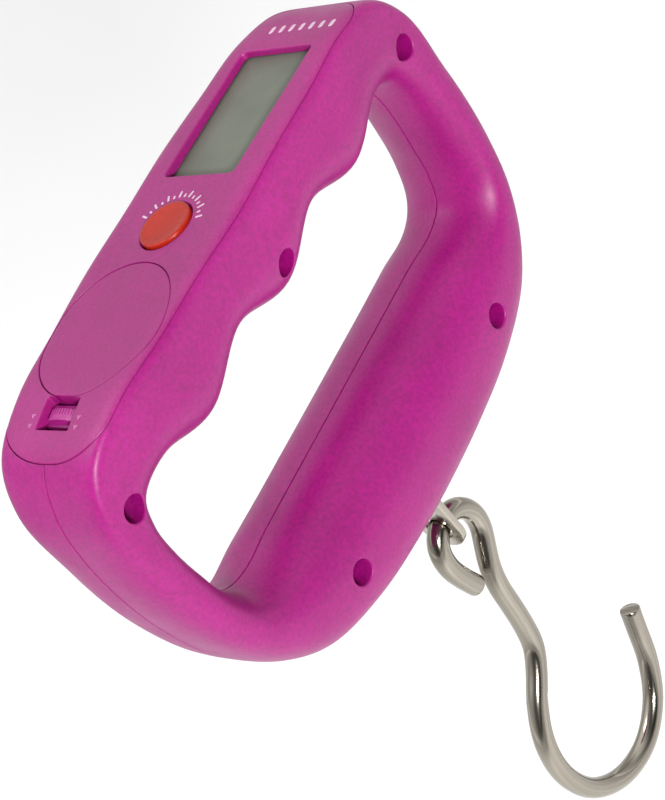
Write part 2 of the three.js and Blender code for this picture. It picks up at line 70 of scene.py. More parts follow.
HALF_STATIONS = [
    ((0, 0), (0, RIDGE_CREST)),
    ((RIDGE_PITCH / 2, 0), (RIDGE_PITCH / 2, RIDGE_HOLLOW)),
    ((RIDGE_PITCH, -0.2), (RIDGE_PITCH, RIDGE_CREST)),
    ((40, -0.6), (38.6, -18.8)),
    ((50.9, -3.7), (46, -19.9)),
    ((56.6, -11.4), (48.3, -24.7)),
    ((58.7, -21.4), (48.5, -31)),
    ((58.8, -33), (47.8, -37.4)),
    ((57.3, -44), (46.8, -44)),
    ((54.2, -54.9), (44, -49.6)),
    ((48.6, -64.6), (38, -51.5)),
    ((40.2, -72), (29.9, BAR_INNER)),
    ((27, -76.2), (20, BAR_INNER)),
    ((13.4, -77.8), (10, BAR_INNER)),
    ((0, BAR_OUTER), (0, BAR_INNER)),
]

PANEL_HALF_WIDTH = 14.5
PANEL_TAPER = 0.0011            # narrowing by the square of the distance from the middle
PANEL_SQUARE_LENGTH = 43        # distance from the middle at which the round ends start
PANEL_TIP = 51.4
PANEL_END_POWER = 2.5

BUTTON_X = -4.3
BUTTON_RADIUS = 5.1
BUTTON_HOLE = 5.4
BUTTON_FLANGE = 6.4
BUTTON_STEM = 1.6
WINDOW = (7.3, 37.2, 8.6)       # x from, x to, half width
WINDOW_CORNER = 1.1
LCD = (5.4, 39.2, 9.4)          # the display glass, likewise
LCD_TOP = -1.9
LCD_GLASS = 1.0
DOOR_X = -26.36
DOOR_HALF_LENGTH = 14.0
DOOR_HALF_WIDTH = 12.8
DOOR_THICKNESS = 1.5
DOOR_SUNK = 0.1
LATCH_SLOT = (-46.2, -40.3, 4.0)        # likewise
LATCH_SLOT_CORNER = 0.35
TONGUE_HALF = 3.6               # half width of the door's tongue, which the latch holds
TONGUE_LENGTH = 1.2
TONGUE_Z = (-5.8, -1.8)
TONGUE_ROOM_Z = (-6, -2.2)
CELL_RADIUS = 10
CELL_HEIGHT = 3.2
CELL_TOP = -2.7
CELL_ROOM = 0.5                 # clearance round the cell
WELL_FLOOR = CELL_TOP - CELL_HEIGHT - 0.7
WELL_TOP = -1.6
WELL_WALL = 1.4
WELL_BASE = 1.3                 # thickness under the cell
BOARD_TOP = -8.0
POST_RADIUS = 1.9
POST_Z = (BOARD_TOP + 0.2, -1.4)
PILOT_RADIUS = 0.9
PILOT_Z = (BOARD_TOP - 1, -4.2)
BOARD_SCREWS = [(-9.6, 8.4), (-9.6, -8.4), (42.2, 5.6), (42.2, -5.6)]
SHELL_SCREWS = [(-51, -15.7), (51, -15.7), (0, -15.2), (-29.1, -64.3), (29.1, -64.3)]
SCREW_RECESS = 2.4              # radius
SCREW_SEAT = -5.0               # y of the recess's floor
HEAD_BOSS, HEAD_BORE = 3.5, 1.4         # radii round the screws in the front shell
THREAD_BOSS, THREAD_BORE = 2.4, 1.2     # and in the rear shell
BOSS_REACH = 16                 # how far from the middle plane a boss starts, outside the skin
BOSS_INSET = 0.9                # depth under the skin at which it is trimmed off
BEAM_Z = (-72.4, -63.6)
BEAM_MIDDLE = sum(BEAM_Z) / 2
BEAM_HALF_WIDTH = 6
BEAM_SCREW_X = 17
BEAM_BOSS, BEAM_BORE = 3.2, 1.1
LUG_X = -2.3
LUG_THICKNESS = 1.5
LUG_HALF_WIDTH = 5
LUG_NECK = 3
LUG_TIP = -88.9                 # centre of the round end
LUG_HOLE = (-88.4, 2.9)         # z and radius
PIN_HOLE = (BEAM_Z[1] + 2.1, 1.75)      # likewise
LUG_SLOT = (1.55, 5.8, 0.4)     # half thickness, half width and corner radius in the lower bar
WIRE = 2.2                      # radius
WIRE_CHAMFER = 0.25
HOOK_SMOOTHING = 10             # passes that even out the bends of the centreline
HOOK_LINE = [
    (-5.0, -104.4), (-6.2, -100.2), (-7.0, -95.2), (-5.7, -90.5), (-2.2, -88.4), (2.2, -89.4),
    (5.0, -93.4), (4.8, -97.8), (2.5, -101.6), (0.2, -105.4), (-1.2, -109.9), (-1.9, -115.5),
    (-2.8, -121.4), (-4.4, -126.6), (-7.8, -130.5), (-12.5, -134.6), (-17.2, -141.4),
    (-18.9, -150.4), (-16.1, -160.5), (-8.6, -167.9), (0.8, -170.2), (9.3, -166.8),
    (14.9, -159.7), (17.6, -152.8), (19.5, -147.8),
]

# Radii of the rounded edges where an opening or a piece meets the skin.
ROOM_ROUND = 0.25               # the shells' edge round the panel
PANEL_ROUND = 0.18
DOORWAY_ROUND = 0.15
DOOR_ROUND = 0.2
BUTTON_HOLE_ROUND = 0.25
WINDOW_ROUND = 0.45
LATCH_SLOT_ROUND = 0.2
RECESS_ROUND = 0.4
LUG_SLOT_ROUND = 0.3
LUG_HOLE_ROUND = 0.3

UNDERNEATH = -9                 # below everything that a cut from above has to go through
COARSE = 72                     # points round a section of a skin that doesn't show
TINY = 0.0001                   # radius of the closed tip of a turned outline

# ---------------------------------------------------------------- meshes


def solid(name, points, faces):
    """A closed mesh with its faces outwards, from points in millimetres."""
    placed = (np.asarray(points, float).reshape(-1, 3) + (0, 0, CROWN_Z)) * MM
    mesh = bpy.data.meshes.new(name)
    mesh.from_pydata(placed.tolist(), [], [list(map(int, face)) for face in faces])
    bm = bmesh.new()
    bm.from_mesh(mesh)
    if bm.calc_volume(signed=True) < 0:
        bmesh.ops.reverse_faces(bm, faces=bm.faces[:])
    bm.to_mesh(mesh)
    bm.free()
    obj = bpy.data.objects.new(name, mesh)
    bpy.context.scene.collection.objects.link(obj)
    return obj


def lofted(name, rings, looped=False):
    """A closed mesh through a stack of rings: capped at both ends, or looped back to the first."""
    rings = np.asarray(rings, float)
    count, around = rings.shape[:2]
    low = np.arange(count if looped else count - 1)[:, None] * around
    high = (low + around) % (count * around)
    here = np.arange(around)[None, :]
    after = (here + 1) % around
    faces = np.stack([low + here, low + after, high + after, high + here], -1).reshape(-1, 4)
    faces = faces.tolist()
    if not looped:
        faces.append(list(range(around))[::-1])
        faces.append(list(range((count - 1) * around, count * around)))
    return solid(name, rings, faces)


def combine(target, tool, operation):
    """Booleans the tool into the target and removes the tool."""
    modifier = target.modifiers.new("combine", "BOOLEAN")
    modifier.solver = "MANIFOLD"
    modifier.operation = operation
    modifier.object = tool
    graph = bpy.context.evaluated_depsgraph_get()
    made = bpy.data.meshes.new_from_object(target.evaluated_get(graph))
    target.modifiers.clear()
    target.data = made
    bpy.data.objects.remove(tool)
    return target


def cut(target, *tools):
    """Takes the tools away from the target."""
    for tool in tools:
        combine(target, tool, "DIFFERENCE")
    return target


def join(target, *others):
    """Adds the others to the target."""
    for other in others:
        combine(target, other, "UNION")
    return target


def keep(target, *tools):
    """Keeps what the target shares with the tools."""
    for tool in tools:
        combine(target, tool, "INTERSECT")
    return target


def block(x0, x1, y0, y1, z0, z1):
    """A box between two corners."""
    corners = [(x0, y0), (x1, y0), (x1, y1), (x0, y1)]
    return lofted("block", [[(x, y, z) for x, y in corners] for z in (z0, z1)])


def bevelled(obj, width, segments=3):
    """The same solid with its edges rounded."""
    modifier = obj.modifiers.new("round", "BEVEL")
    modifier.width = width * MM
    modifier.segments = segments
    modifier.limit_method = "ANGLE"
    modifier.angle_limit = math.radians(35)
    graph = bpy.context.evaluated_depsgraph_get()
    made = bpy.data.meshes.new_from_object(obj.evaluated_get(graph))
    obj.modifiers.clear()
    obj.data = made
    return obj


def turned(name, outline, centre, axis, sides=64):
    """A turned solid: an outline of (radius, height) from one end of the axis to the other."""
    angles = np.linspace(0, 2 * np.pi, sides, endpoint=False)
    rings = []
    for radius, height in outline:
        p, q = radius * np.cos(angles), radius * np.sin(angles)
        h = np.full(sides, float(height))
        rings.append(np.stack({"z": (p, q, h), "y": (p, h, q), "x": (h, p, q)}[axis], -1))
    return lofted(name, np.array(rings) + centre)


# ---------------------------------------------------------------- the loop's skin


def closed_curve(points, count):
    """Points on a closed Catmull-Rom curve, evenly spaced in its parameter."""
    points = np.asarray(points, float)
    at = np.linspace(0, len(points), count, endpoint=False)
    index = at.astype(int)
    w = (at - index)[:, None]
    before, start, end, after = (points[(index + k) % len(points)] for k in (-1, 0, 1, 2))
    leaving, arriving = (end - before) / 2, (after - start) / 2
    return (
        (2 * w**3 - 3 * w**2 + 1) * start + (w**3 - 2 * w**2 + w) * leaving
        + (3 * w**2 - 2 * w**3) * end + (w**3 - w**2) * arriving
    )


def smoothstep(value, low, high):
    t = np.clip((value - low) / (high - low), 0, 1)
    return t * t * (3 - 2 * t)


AROUND = 28 * 11                # sections round the loop

right_half = np.array(HALF_STATIONS, float)
left_half = right_half[1:-1][::-1] * (-1, 1)
stations = np.concatenate([right_half, left_half])
outer = closed_curve(stations[:, 0], AROUND)
inner = closed_curve(stations[:, 1], AROUND)
middle = (outer + inner) / 2
radial = outer - inner
half_reach = np.linalg.norm(radial, axis=1) / 2
radial /= 2 * half_reach[:, None]
grip_share = smoothstep(middle[:, 1], -45, -14)
swell = np.clip(1 - np.abs(middle[:, 0] / SWELL_HALF) ** 2.5, 0, 1)
half_depth = COLUMN_DEPTH + swell * (BAR_EXTRA + (GRIP_EXTRA - BAR_EXTRA) * grip_share)
top_share = grip_share * smoothstep(middle[:, 1], -30, -10)
edge_power = EDGE_POWER + (GRIP_EDGE_POWER - EDGE_POWER) * top_share
column_share = smoothstep(np.abs(middle[:, 0]), *COLUMN_START) * (1 - top_share)
front_power = FRONT_INNER_POWER + (INNER_POWER - FRONT_INNER_POWER) * grip_share
rear_power = INNER_POWER + (COLUMN_INNER_POWER - INNER_POWER) * column_share


def section_points(along, across):
    """Points from section coordinates: along the outward direction, and across it in y."""
    plane = middle[:, None, :] + along[:, :, None] * radial[:, None, :]
    return np.stack([plane[:, :, 0], across, plane[:, :, 1]], -1)


def superellipse(angles, inset):
    """Section coordinates of the skin drawn in by `inset`, for each section and polar angle."""
    c, s = np.cos(angles)[None, :], np.sin(angles)[None, :]
    inner_power = np.where(s < 0, front_power[:, None], rear_power[:, None])
    power = np.where(c > 0, edge_power[:, None], inner_power)
    radius = (np.abs(c) ** power + np.abs(s) ** power) ** (-1 / power)
    return radius * c * (half_reach[:, None] - inset), radius * s * (half_depth[:, None] - inset)


def spread(start, end, count):
    """Polar angles from start to end, closer together at the squarer corners of the grip."""
    fine = np.linspace(start, end, 2001)
    density = 1 + 2.2 * np.exp(-((np.abs(np.cos(fine)) - 0.71) / 0.16) ** 2) * (np.cos(fine) > 0)
    total = np.concatenate([[0], np.cumsum((density[1:] + density[:-1]) / 2)])
    return np.interp(np.linspace(0, total[-1], count), total, fine)


def skin(name, inset=0.0, down=0.0, across=120):
    """The loop's whole skin as a solid, drawn in and moved down."""
    half = spread(0, np.pi, across // 2 + 1)
    angles = np.concatenate([half[:-1], 2 * np.pi - half[:0:-1]])
    rings = section_points(*superellipse(angles, inset))
    return lofted(name, rings - (0, 0, down), looped=True)


reference = skin("reference")
reference_mesh = reference.data
reference_mesh.shade_smooth()
triangles = []
for polygon in reference_mesh.polygons:
    a, b, c, d = polygon.vertices
    triangles += [(a, b, c), (a, c, d)]
skin_points = np.array([v.co for v in reference_mesh.vertices])
skin_normals = np.array([n.vector for n in reference_mesh.vertex_normals])
skin_tree = BVHTree.FromPolygons([Vector(p) for p in skin_points], triangles)


def height_at(p, q, axis):
    """Height of the skin in millimetres, seen from above (axis z) or from the -Y side (axis y)."""
    if axis == "z":
        origin, direction = Vector((p * MM, q * MM, 0.1)), Vector((0, 0, -1))
    else:
        origin, direction = Vector((p * MM, -0.1, (q + CROWN_Z) * MM)), Vector((0, 1, 0))
    hit = skin_tree.ray_cast(origin, direction)[0]
    if hit is None:
        raise ValueError(f"no skin at {p:.2f}, {q:.2f} along {axis}")
    return hit.z / MM - CROWN_Z if axis == "z" else -hit.y / MM


def on_skin(ring, height, axis="z"):
    """A plan ring laid on the skin and lifted by `height`."""
    lifted = [height_at(p, q, axis) + height for p, q in ring]
    return placed_ring(ring, lifted, axis)


def placed_ring(ring, heights, axis="z"):
    p, q = np.asarray(ring, float).T
    h = np.broadcast_to(np.asarray(heights, float), p.shape)
    return np.stack((p, q, h) if axis == "z" else (p, -h, q), -1)


RIM = [(0, -1), (0.13, -0.5), (0.5, -0.13), (1, 0.02), (1.6, 0.3)]   # a rounded edge, by its radius


def rim_tool(outline, radius, floor, sink=0.0, inwards=False, axis="z", top=20.0):
    """A prism with a rounded brim where it meets the skin: flared to cut a hole with a rounded
    rim, or inwards to keep a piece with a rounded edge. `outline` gives the ring at an offset."""
    side = -1 if inwards else 1
    rings = [placed_ring(outline(0), floor, axis)]
    for offset, height in RIM:
        ring = outline(side * offset * radius)
        rings.append(on_skin(ring, height * radius - sink, axis))
    rings.append(placed_ring(outline(side * RIM[-1][0] * radius), top, axis))
    return lofted("tool", rings)


def oval(x, y, half_length, half_width, sides=96):
    angles = np.linspace(0, 2 * np.pi, sides, endpoint=False)

    def outline(offset):
        return np.stack([
            x + (half_length + offset) * np.cos(angles), y + (half_width + offset) * np.sin(angles),
        ], -1)
    return outline


def rounded_box(x0, x1, y0, y1, corner, step=1.2):
    """A rectangle with round corners, with points along its sides so that it can follow the skin."""
    centres = [(x1 - corner, y1 - corner), (x0 + corner, y1 - corner),
               (x0 + corner, y0 + corner), (x1 - corner, y0 + corner)]
    lengths = [x1 - x0, y1 - y0, x1 - x0, y1 - y0]

    def outline(offset):
        ring = []
        for quarter, (here, following) in enumerate(zip(centres, centres[1:] + centres[:1])):
            turns = np.radians(90 * quarter + np.linspace(0, 90, 7))
            arc = (corner + offset) * np.stack([np.cos(turns), np.sin(turns)], -1)
            ring.extend(np.array(here) + arc)
            count = int(lengths[quarter] / step)
            for share in np.arange(1, count) / count:
                ring.append(np.array(here) * (1 - share) + np.array(following) * share + arc[-1])
        return np.array(ring)
    return outline


def panel_outline(offset):
    """Plan outline of the panel, drawn out by `offset`."""
    turn = np.linspace(0, np.pi / 2, 49)
    x = (PANEL_TIP + offset) * np.sin(turn)
    past = np.clip(x - PANEL_SQUARE_LENGTH, 0, None) / (PANEL_TIP + offset - PANEL_SQUARE_LENGTH)
    end = np.clip(1 - past**PANEL_END_POWER, 0, None) ** (1 / PANEL_END_POWER)
    y = (PANEL_HALF_WIDTH - PANEL_TAPER * x * x + offset) * end
    quarter = np.stack([x, y], -1)
    back = quarter[::-1][1:-1]
    return np.concatenate([
        quarter * (1, 1), back * (1, -1), quarter[:1] * (1, -1), quarter[1:] * (-1, -1),
        back * (-1, 1),
    ])


# ---------------------------------------------------------------- shells

OUTSIDE = (0.035, 66)           # angle left free at the middle plane, and points between
INSIDE = (0.09, 26)


def shell_half(name, side):
    """Half of the loop as a wall that ends at the middle plane with rounded edges."""
    near = PARTING / 2
    reach, ones = half_reach[:, None], np.ones((AROUND, 1))
    turn = np.radians([0, 30, 60, 90])
    edge_along = reach - SEAM_ROUND + SEAM_ROUND * np.sin(turn)
    edge_across = side * ones * (near + SEAM_ROUND - SEAM_ROUND * np.cos(turn))
    margin, count = OUTSIDE
    out_along, out_across = superellipse(side * spread(margin, np.pi - margin, count), 0)
    margin, count = INSIDE
    in_along, in_across = superellipse(side * np.linspace(np.pi - margin, margin, count), WALL)
    along = np.hstack([
        edge_along, out_along, -edge_along[:, ::-1], WALL - reach, in_along, reach - WALL,
    ])
    flat = ones * near * side
    across = np.hstack([
        edge_across, out_across, edge_across[:, ::-1], flat, in_across, flat,
    ])
    return lofted(name, section_points(along, across), looped=True)


def tube_along_y(x, z, radius, y0, y1, sides=40):
    return turned("tube", [(radius, y0), (radius, y1)], (x, 0, z), "y", sides)


def lug_slot(offset):
    half_x, half_y, corner = LUG_SLOT
    return rounded_box(LUG_X - half_x, LUG_X + half_x, -half_y, half_y, corner)(offset)


panel_room = rim_tool(panel_outline, ROOM_ROUND, UNDERNEATH - 2)
cut(panel_room, skin("under", down=PANEL_THICKNESS + GAP, across=COARSE))
inner_skin = skin("inner_skin", inset=BOSS_INSET, across=COARSE)


def copy_of(obj):
    made = obj.copy()
    made.data = obj.data.copy()
    bpy.context.scene.collection.objects.link(made)
    return made


def lug_slot_tool():
    """The slot's walls up through the lower bar, with a flared mouth at the bottom."""
    rings = [placed_ring(lug_slot(0), BEAM_Z[0] - 1)]
    for offset, height in RIM:
        ring = lug_slot(offset * LUG_SLOT_ROUND)
        rings.append(placed_ring(ring, BAR_OUTER - height * LUG_SLOT_ROUND))
    rings.append(placed_ring(lug_slot(2 * LUG_SLOT_ROUND), BAR_OUTER - 4))
    return lofted("slot", rings)


def add_boss(obj, x, z, radius, y0, y1):
    """A round boss inside a shell, trimmed where it reaches the outer wall."""
    join(obj, keep(tube_along_y(x, z, radius, y0, y1), copy_of(inner_skin)))


def shell(name, side):
    obj = shell_half(name, side)
    return cut(obj, copy_of(panel_room), lug_slot_tool())


front_shell = shell("front_shell_moulding", -1)
rear_shell = shell("rear_shell_moulding", 1)
for x, z in SHELL_SCREWS:
    add_boss(front_shell, x, z, HEAD_BOSS, -BOSS_REACH, -GAP / 2)
    recess = oval(x, z, SCREW_RECESS, SCREW_RECESS, 48)
    cut(front_shell, rim_tool(recess, RECESS_ROUND, -SCREW_SEAT, axis="y"))
    cut(front_shell, tube_along_y(x, z, HEAD_BORE, SCREW_SEAT - 2, 1))
    add_boss(rear_shell, x, z, THREAD_BOSS, GAP / 2, BOSS_REACH)
    cut(rear_shell, tube_along_y(x, z, THREAD_BORE, -1, 9))
for x in (-BEAM_SCREW_X, BEAM_SCREW_X):
    add_boss(rear_shell, x, BEAM_MIDDLE, BEAM_BOSS, BEAM_HALF_WIDTH + GAP, BOSS_REACH)
    cut(rear_shell, tube_along_y(x, BEAM_MIDDLE, BEAM_BORE, 0, 11))

# ---------------------------------------------------------------- panel, door, latch, button


def panel_edge(offset):
    return panel_outline(offset - SEAM)


def cylinder_along_z(x, y, radius, z0, z1, sides):
    return turned("cylinder", [(radius, z0), (radius, z1)], (x, y, 0), "z", sides)


def add_well(obj):
    """The coin cell's round well, and the shallow room over it that the door lies in."""
    room_radius = CELL_RADIUS + CELL_ROOM
    wall_radius = room_radius + WELL_WALL
    join(obj, cylinder_along_z(DOOR_X, 0, wall_radius, WELL_FLOOR - WELL_BASE, WELL_TOP, 72))
    opening = oval(DOOR_X, 0, DOOR_HALF_LENGTH + SEAM, DOOR_HALF_WIDTH + SEAM, 128)
    room = rim_tool(opening, DOORWAY_ROUND, UNDERNEATH)
    cut(room, skin("floor", down=DOOR_SUNK + DOOR_THICKNESS + GAP, across=COARSE))
    cut(obj, room, cylinder_along_z(DOOR_X, 0, room_radius, WELL_FLOOR, 5, 72))


def control_panel():
    obj = keep(skin("panel_moulding"), rim_tool(panel_edge, PANEL_ROUND, UNDERNEATH, inwards=True))
    cut(obj, skin("under", down=PANEL_THICKNESS, across=COARSE))
    for x, y in BOARD_SCREWS:
        join(obj, cylinder_along_z(x, y, POST_RADIUS, *POST_Z, 32))
        cut(obj, cylinder_along_z(x, y, PILOT_RADIUS, *PILOT_Z, 24))
    add_well(obj)
    button_hole = oval(BUTTON_X, 0, BUTTON_HOLE, BUTTON_HOLE, 72)
    cut(obj, rim_tool(button_hole, BUTTON_HOLE_ROUND, UNDERNEATH))
    x0, x1, half = WINDOW
    window = rounded_box(x0, x1, -half, half, WINDOW_CORNER)
    cut(obj, rim_tool(window, WINDOW_ROUND, UNDERNEATH))
    x0, x1, half = LATCH_SLOT
    slot = rounded_box(x0, x1, -half, half, LATCH_SLOT_CORNER, step=0.8)
    cut(obj, rim_tool(slot, LATCH_SLOT_ROUND, UNDERNEATH))
    room_half = TONGUE_HALF + 0.1
    tongue_room = block(x1 - 0.2, x1 + 1.9, -room_half, room_half, *TONGUE_ROOM_Z)
    x0, x1, half = LCD
    display_room = block(x0 - 1.7, x1 + 1.7, -half - 1.5, half + 1.5, UNDERNEATH, LCD_TOP + 0.15)
    return cut(obj, tongue_room, display_room)


def door_outline(offset):
    """The oval, cut straight where it meets the latch."""
    ring = oval(DOOR_X, 0, DOOR_HALF_LENGTH, DOOR_HALF_WIDTH, 160)(offset)
    ring[:, 0] = np.maximum(ring[:, 0], LATCH_SLOT[1] + GAP - offset)
    return ring


def battery_door():
    obj = skin("battery_door_cover", down=DOOR_SUNK)
    keep(obj, rim_tool(door_outline, DOOR_ROUND, UNDERNEATH, sink=DOOR_SUNK, inwards=True))
    cut(obj, skin("under", down=DOOR_SUNK + DOOR_THICKNESS, across=COARSE))
    edge = LATCH_SLOT[1] + GAP
    tongue = block(edge, edge + TONGUE_LENGTH, -TONGUE_HALF, TONGUE_HALF, *TONGUE_Z)
    return join(obj, bevelled(tongue, 0.1, 2))


def latch_pad(edge):
    """The pad for the fingernail, arched across and lower towards its back."""
    half, arch, lean = 2.9, 0.35, 0.35
    top = [(y, -1.55 - arch * (y / half) ** 2) for y in np.linspace(-half, half, 13)]
    ring = [(-half, -3.6), *top, (half, -3.6)]
    ends = ((edge - 3.4, -lean), (edge - 1.3, 0))
    return lofted("pad", [[(x, y, z + lower) for y, z in ring] for x, lower in ends])


def latch_notch(edge, y):
    """A V-shaped groove along the pad."""
    start = [(edge - 2.4, y - 0.16, -1.3), (edge - 2.4, y + 0.16, -1.3), (edge - 2.4, y, -2.15)]
    return lofted("notch", [start, [(x + 1.4, v, z - 0.1) for x, v, z in start]])


def door_latch():
    """Wings under the panel, a stepped body that fills the slot, and a serrated pad on it."""
    edge = LATCH_SLOT[1] - GAP
    half = LATCH_SLOT[2] - 0.12
    wing = LATCH_SLOT[2] + 1.2
    obj = block(edge - 5.3, edge + 1.8, -wing, wing, -7.3, -6.1)
    obj.name = "latch_slider"
    for back, front, top in ((3.9, 0, -3.4), (5.2, 3.8, -4.6), (1.6, 0.1, -2.5)):
        join(obj, block(edge - back, edge - front, -half, half, -6.3, top))
    join(obj, latch_pad(edge))
    bevelled(obj, 0.12, 2)
    return cut(obj, *[latch_notch(edge, y) for y in np.linspace(-2.3, 2.3, 8)])


def power_button():
    """A stem, a flange under the panel, and a cap with a raised rim round a shallow dish."""
    chamfer = 0.1
    stem = [(TINY, -5.3), (BUTTON_STEM - chamfer, -5.3), (BUTTON_STEM, -5.2), (BUTTON_STEM, -3.9)]
    flange = [(BUTTON_FLANGE - chamfer, -3.9), (BUTTON_FLANGE, -3.8), (BUTTON_FLANGE, -3.1),
              (BUTTON_FLANGE - chamfer, -3.0), (BUTTON_RADIUS, -3.0)]
    rim = [(BUTTON_RADIUS, 0.2), (5.06, 0.38), (4.96, 0.51), (4.8, 0.58), (4.6, 0.6), (4.4, 0.57)]
    dish = [(4.1, 0.5), (3.6, 0.41), (3.0, 0.34), (2.2, 0.28), (1.4, 0.24), (0.7, 0.22),
            (TINY, 0.22)]
    return turned("button_cap", stem + flange + rim + dish, (BUTTON_X, 0, 0), "z", 96)


panel = control_panel()
door = battery_door()
latch = door_latch()
button = power_button()

# ---------------------------------------------------------------- display

x0, x1, half = LCD
display = bevelled(block(x0, x1, -half, half, LCD_TOP - LCD_GLASS, LCD_TOP), 0.15)
display.name = "display_glass"

# ---------------------------------------------------------------- printed and moulded marks, the latch's moulded arrows in a painted-glint pink


def mark_on_skin(ring, height, sink=0.15):
    """A small raised mark that follows the skin."""
    ring = np.asarray(ring, float)
    centre = ring.mean(0)
    drawn_in = centre + (ring - centre) * 0.9
    return lofted("mark", [
        on_skin(ring, -sink), on_skin(ring, height * 0.5), on_skin(drawn_in, height),
    ])


def bar(x, y, angle, length, width, points=8):
    """A plan outline of a short bar with round ends."""
    direction = np.array((math.cos(angle), math.sin(angle)))
    across = np.array((-direction[1], direction[0]))
    ring = []
    for end, start in ((1, -90), (-1, 90)):
        for turn in np.radians(start + np.linspace(0, 180, points)):
            local = direction * math.cos(turn) + across * math.sin(turn)
            ring.append(np.array((x, y)) + direction * end * (length - width) / 2 + local * width / 2)
    return ring


def merged(name, parts):
    """Several separate solids as one object."""
    bm = bmesh.new()
    for part in parts:
        bm.from_mesh(part.data)
        bpy.data.objects.remove(part)
    mesh = bpy.data.meshes.new(name)
    bm.to_mesh(mesh)
    bm.free()
    obj = bpy.data.objects.new(name, mesh)
    bpy.context.scene.collection.objects.link(obj)
    return obj


INK = 0.03                      # thickness of the printed marks
TICK_START = 6.35               # radius about the button at which the ticks start
TICK_LENGTHS = (1.5, 0.8)       # by turns
TICK_WIDTH = 0.42
STRIPE_X = 42.9
STRIPE_LENGTH = 2.2
STRIPE_WIDTH = 0.9
ARROW_HEIGHT = 0.1


def tick(index, degrees):
    angle = math.radians(degrees)
    length = TICK_LENGTHS[index % 2]
    radius = TICK_START + length / 2
    x, y = BUTTON_X + radius * math.cos(angle), radius * math.sin(angle)
    return mark_on_skin(bar(x, y, angle, length, TICK_WIDTH), INK)


def stripe(y):
    return mark_on_skin(bar(STRIPE_X, y, math.radians(8), STRIPE_LENGTH, STRIPE_WIDTH), INK)


def arrow(x, y):
    return mark_on_skin([(x - 0.45, y), (x + 0.3, y + 0.5), (x + 0.3, y - 0.5)], ARROW_HEIGHT)


legend = merged("button_ticks", [tick(*each) for each in enumerate(np.linspace(72, -76, 15))])
end_mark = merged("end_stripe", [stripe(y) for y in np.linspace(5.2, -9.4, 7)])
latch_marks = merged("latch_arrows", [arrow(x, y) for y in (-5.6, 5.6) for x in (-45.6, -43.9)])

# ---------------------------------------------------------------- lug, hook, screws, cell


def lug_plate():
    """Flat steel plate with rounded edges, a narrow neck, a round end and two holes."""
    top, shoulder, neck_end = BEAM_Z[1] + 5.4, BEAM_Z[0] - 2.2, BEAM_Z[0] - 1.2
    ring = [(LUG_NECK, top), (-LUG_NECK, top), (-LUG_NECK, neck_end),
            (-LUG_HALF_WIDTH, shoulder), (-LUG_HALF_WIDTH, LUG_TIP)]
    turns = np.linspace(np.pi, 2 * np.pi, 40)[1:-1]
    ring += [(LUG_HALF_WIDTH * math.cos(t), LUG_TIP + LUG_HALF_WIDTH * math.sin(t)) for t in turns]
    ring += [(LUG_HALF_WIDTH, LUG_TIP), (LUG_HALF_WIDTH, shoulder), (LUG_NECK, neck_end)]
    x0, x1 = LUG_X - LUG_THICKNESS / 2, LUG_X + LUG_THICKNESS / 2
    plate = lofted("lug_plate", [[(x, y, z) for y, z in ring] for x in (x0, x1)])
    bevelled(plate, 0.25, 3)
    for z, radius in (LUG_HOLE, PIN_HOLE):
        r = LUG_HOLE_ROUND
        profile = [(radius + 1.6 * r, x0 - 0.3), (radius + r, x0 - 0.01), (radius + 0.5 * r, x0 + 0.04),
                   (radius + 0.13 * r, x0 + 0.15), (radius, x0 + r)]
        other = [(value, x0 + x1 - at) for value, at in reversed(profile)]
        cut(plate, turned("hole", profile + other, (0, 0, z), "x", 48))
    return plate


def hook_path(count):
    """Points on the centripetal Catmull-Rom curve through the hook's centreline, evenly spaced."""
    line = np.array(HOOK_LINE, float)
    line = np.vstack([2 * line[0] - line[1], line, 2 * line[-1] - line[-2]])
    path = []
    for p0, p1, p2, p3 in zip(line, line[1:], line[2:], line[3:]):
        d0, d1, d2 = (math.sqrt(np.linalg.norm(b - a)) for a, b in ((p0, p1), (p1, p2), (p2, p3)))
        leaving = ((p1 - p0) / d0 - (p2 - p0) / (d0 + d1) + (p2 - p1) / d1) * d1
        arriving = ((p2 - p1) / d1 - (p3 - p1) / (d1 + d2) + (p3 - p2) / d2) * d1
        w = np.linspace(0, 1, 24, endpoint=False)[:, None]
        path.append((2 * w**3 - 3 * w**2 + 1) * p1 + (w**3 - 2 * w**2 + w) * leaving
                    + (3 * w**2 - 2 * w**3) * p2 + (w**3 - w**2) * arriving)
    path = np.vstack([*path, line[-2:-1]])
    steps = np.concatenate([[0], np.cumsum(np.linalg.norm(np.diff(path, axis=0), axis=1))])
    at = np.linspace(0, steps[-1], count)
    return np.stack([np.interp(at, steps, path[:, 0]), np.interp(at, steps, path[:, 1])], -1)


def uv_along(obj, count, sides):
    """UVs round and along a tube of `count` rings, for streaks that follow the wire."""
    layer = obj.data.uv_layers.new(name="along")
    loops = np.zeros(len(obj.data.loops), int)
    obj.data.loops.foreach_get("vertex_index", loops)
    station, corner = loops // sides, loops % sides
    turned_to = 0.5 - 0.5 * np.cos(corner / sides * 2 * np.pi)
    uv = np.stack([turned_to, station / count], -1)
    layer.data.foreach_set("uv", uv.astype(np.float32).ravel())


